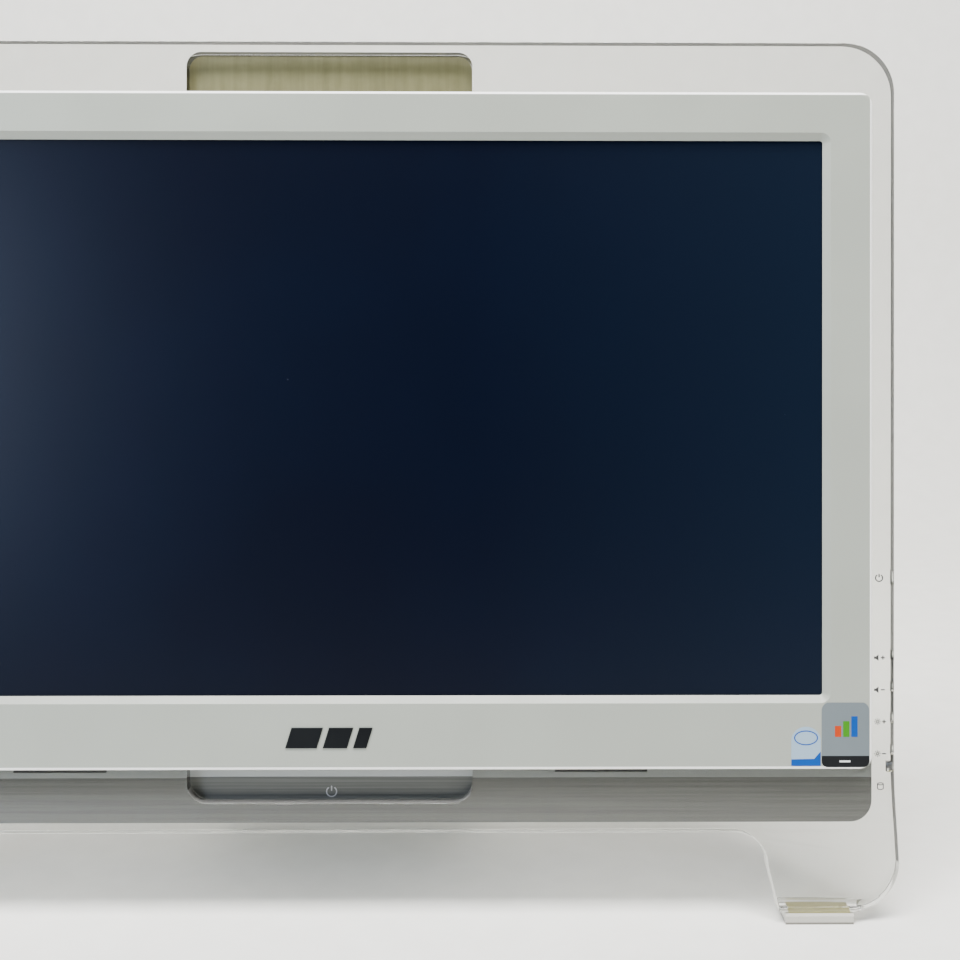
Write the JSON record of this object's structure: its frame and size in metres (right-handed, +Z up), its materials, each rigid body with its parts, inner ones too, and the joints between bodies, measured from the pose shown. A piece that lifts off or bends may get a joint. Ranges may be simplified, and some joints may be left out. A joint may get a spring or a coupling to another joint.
{
  "type": "all-in-one pc",
  "caption": "All-in-one desktop computer with a white display bezel on a clear acrylic frame, a brushed lower strip, a fold-out rear stand and a side disc tray.",
  "frame": {"origin": "middle of the bounding box in plan, on the desk", "axes": "+Z up, +X to the right of the screen as a user sees it, the screen faces -Y and leans back"},
  "size_m": [0.4754, 0.1244, 0.3622],
  "materials": {
    "clear_acrylic": "clear polished acrylic",
    "bezel_white": "pearl white, satin gloss",
    "cover_white": "white, gloss",
    "strip_metal": "brushed along the length",
    "channel_grey": "satin",
    "grille_dark": "perforated",
    "panel_steel": "zinc coated",
    "screen_glass": "anti-glare, switched off",
    "light_guide": "translucent",
    "lamp_glass": "clear",
    "screw_steel": "plated",
    "brass": "turned",
    "board_green": "solder mask",
    "chip_black": "moulded",
    "aluminium": "milled",
    "copper": "drawn tube",
    "black_plastic": "moulded",
    "cell_steel": "polished",
    "lead_grey": "insulated",
    "hinge_steel": "plated",
    "stand_white": "satin",
    "rubber_black": "matt",
    "grip_yellowed": "aged soft plastic",
    "clear_rubber": "clear soft bar",
    "adhesive": "yellowed adhesive",
    "button_clear": "frosted",
    "light_dark": "smoked"
  },
  "bodies": {
    "unit": {"clear_frame": "clear_acrylic", "front_bezel": "bezel_white", "brushed_strip": "strip_metal", "speaker_channel": "channel_grey", "speaker_grilles": "grille_dark", "middle_frame": "channel_grey", "lcd_rim": "panel_steel", "lcd_cell": "screen_glass", "light_guide": "light_guide", "backlight_lamps": "lamp_glass", "lcd_back_plate": "panel_steel", "chassis_plate": "panel_steel", "screws": "screw_steel", "mainboard": "board_green", "board_standoffs": "brass", "board_components": "chip_black", "heat_spreader": "aluminium", "heat_pipe": "copper", "cooling_fins": "aluminium", "blower_case": "black_plastic", "memory_socket": "chip_black", "memory_module": "board_green", "coin_cell": "cell_steel", "wireless_card": "board_green", "hard_drive": "aluminium", "drive_cage": "panel_steel", "optical_drive_shell": "panel_steel", "inverter_board": "board_green", "speaker_boxes": "black_plastic", "internal_leads": "lead_grey", "cover_band": "cover_white", "rear_cover": "cover_white", "stand_bay": "cover_white", "carry_tab": "cover_white", "service_door": "cover_white", "vesa_inserts": "brass", "port_plate": "panel_steel", "usb_ports": "panel_steel", "lan_port": "panel_steel", "audio_jacks": "black_plastic", "dc_inlet": "black_plastic", "hinge_brackets": "hinge_steel", "hinge_pin": "screw_steel", "carry_grip": "grip_yellowed", "foot_bars": "clear_rubber", "foot_adhesive": "adhesive", "status_light": "light_dark"},
    "stand": {"stand": "stand_white", "stand_pad": "rubber_black"},
    "rotor": {"blower_rotor": "black_plastic"},
    "tray": {"disc_tray": "black_plastic", "tray_bezel": "cover_white"},
    "hub": {"disc_hub": "screw_steel"},
    "pickup": {"laser_pickup": "black_plastic"},
    "eject": {"eject_button": "button_clear"},
    "power": {"power_button": "button_clear"},
    "volume_up": {"volume_buttons_up": "button_clear"},
    "volume_down": {"volume_buttons_down": "button_clear"},
    "brightness_up": {"brightness_button_up": "button_clear"},
    "brightness_down": {"brightness_button_down": "button_clear"}
  },
  "joints": [
    {"name": "stand_fold", "type": "hinge", "parent": "unit", "child": "stand", "pos_m": [0, 0.0043, 0.15022], "axis": [1, 0, 0], "range_deg": [-30, 0]},
    {"name": "fan_spin", "type": "hinge", "parent": "unit", "child": "rotor", "pos_m": [0.14, 0.00829, 0.25918], "axis": [0, 0.9848, -0.1736], "continuous": true},
    {"name": "tray_slide", "type": "slide", "parent": "unit", "child": "tray", "axis": [-1, 0, 0], "range_m": [0, 0.118]},
    {"name": "hub_spin", "type": "hinge", "parent": "tray", "child": "hub", "pos_m": [-0.1555, 0.00131, 0.20812], "axis": [0, 0.9848, -0.1736], "continuous": true},
    {"name": "pickup_slide", "type": "slide", "parent": "tray", "child": "pickup", "axis": [1, 0, 0], "range_m": [0, 0.024]},
    {"name": "eject_press", "type": "slide", "parent": "tray", "child": "eject", "axis": [1, 0, 0], "range_m": [0, 0.0006], "stiffness_N_per_m": 400},
    {"name": "power_press", "type": "slide", "parent": "unit", "child": "power", "axis": [-1, 0, 0], "range_m": [0, 0.0003], "stiffness_N_per_m": 600},
    {"name": "volume_up_press", "type": "slide", "parent": "unit", "child": "volume_up", "axis": [-1, 0, 0], "range_m": [0, 0.0003], "stiffness_N_per_m": 600},
    {"name": "volume_down_press", "type": "slide", "parent": "unit", "child": "volume_down", "axis": [-1, 0, 0], "range_m": [0, 0.0003], "stiffness_N_per_m": 600},
    {"name": "brightness_up_press", "type": "slide", "parent": "unit", "child": "brightness_up", "axis": [-1, 0, 0], "range_m": [0, 0.0003], "stiffness_N_per_m": 600},
    {"name": "brightness_down_press", "type": "slide", "parent": "unit", "child": "brightness_down", "axis": [-1, 0, 0], "range_m": [0, 0.0003], "stiffness_N_per_m": 600}
  ]
}
